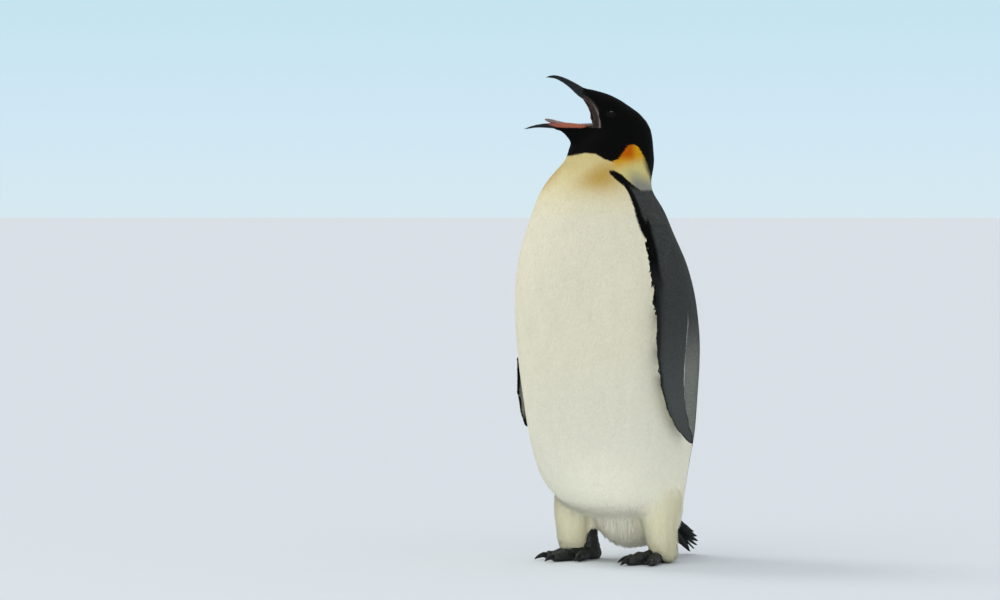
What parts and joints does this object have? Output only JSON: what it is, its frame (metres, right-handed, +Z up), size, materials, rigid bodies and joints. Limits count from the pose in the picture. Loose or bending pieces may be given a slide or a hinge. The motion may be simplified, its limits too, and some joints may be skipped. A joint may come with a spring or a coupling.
{
  "type": "emperor penguin figure",
  "caption": "Still life-size emperor penguin standing upright on flat soles, head turned to its right with the bill wide open, flippers hanging at its sides",
  "frame": {"origin": "middle of the bottom of the bounding box, on the plane of the soles", "axes": "+Z up along the standing body, the breast faces -Y, the bird's left side is +X"},
  "size_m": [0.466, 0.5538, 1.148],
  "materials": {
    "plumage": "short dense feathers: cream white front, black hood, golden neck patch, slate back and flippers",
    "tail_feathers": "stiff black feathers, satin",
    "dark_horn": "blue-black horn, satin",
    "orange_horn": "salmon orange horn, satin",
    "tongue": "moist grey-pink flesh",
    "eye": "polished dark brown eye",
    "foot_skin": "black scaly skin, matte",
    "claw": "black horn, satin"
  },
  "bodies": {
    "root": {"trunk": "plumage", "neck": "plumage", "head": "plumage", "flipper_left": "plumage", "flipper_right": "plumage", "leg_left": "plumage", "leg_right": "plumage", "tail": "tail_feathers", "upper_bill": "dark_horn", "lower_bill": "dark_horn", "bill_plate_left": "orange_horn", "bill_plate_right": "orange_horn", "tongue": "tongue", "eye_left": "eye", "eye_right": "eye", "foot_left": "foot_skin", "foot_right": "foot_skin", "claw_left_inner": "claw", "claw_left_middle": "claw", "claw_left_outer": "claw", "claw_right_inner": "claw", "claw_right_middle": "claw", "claw_right_outer": "claw"}
  },
  "joints": []
}
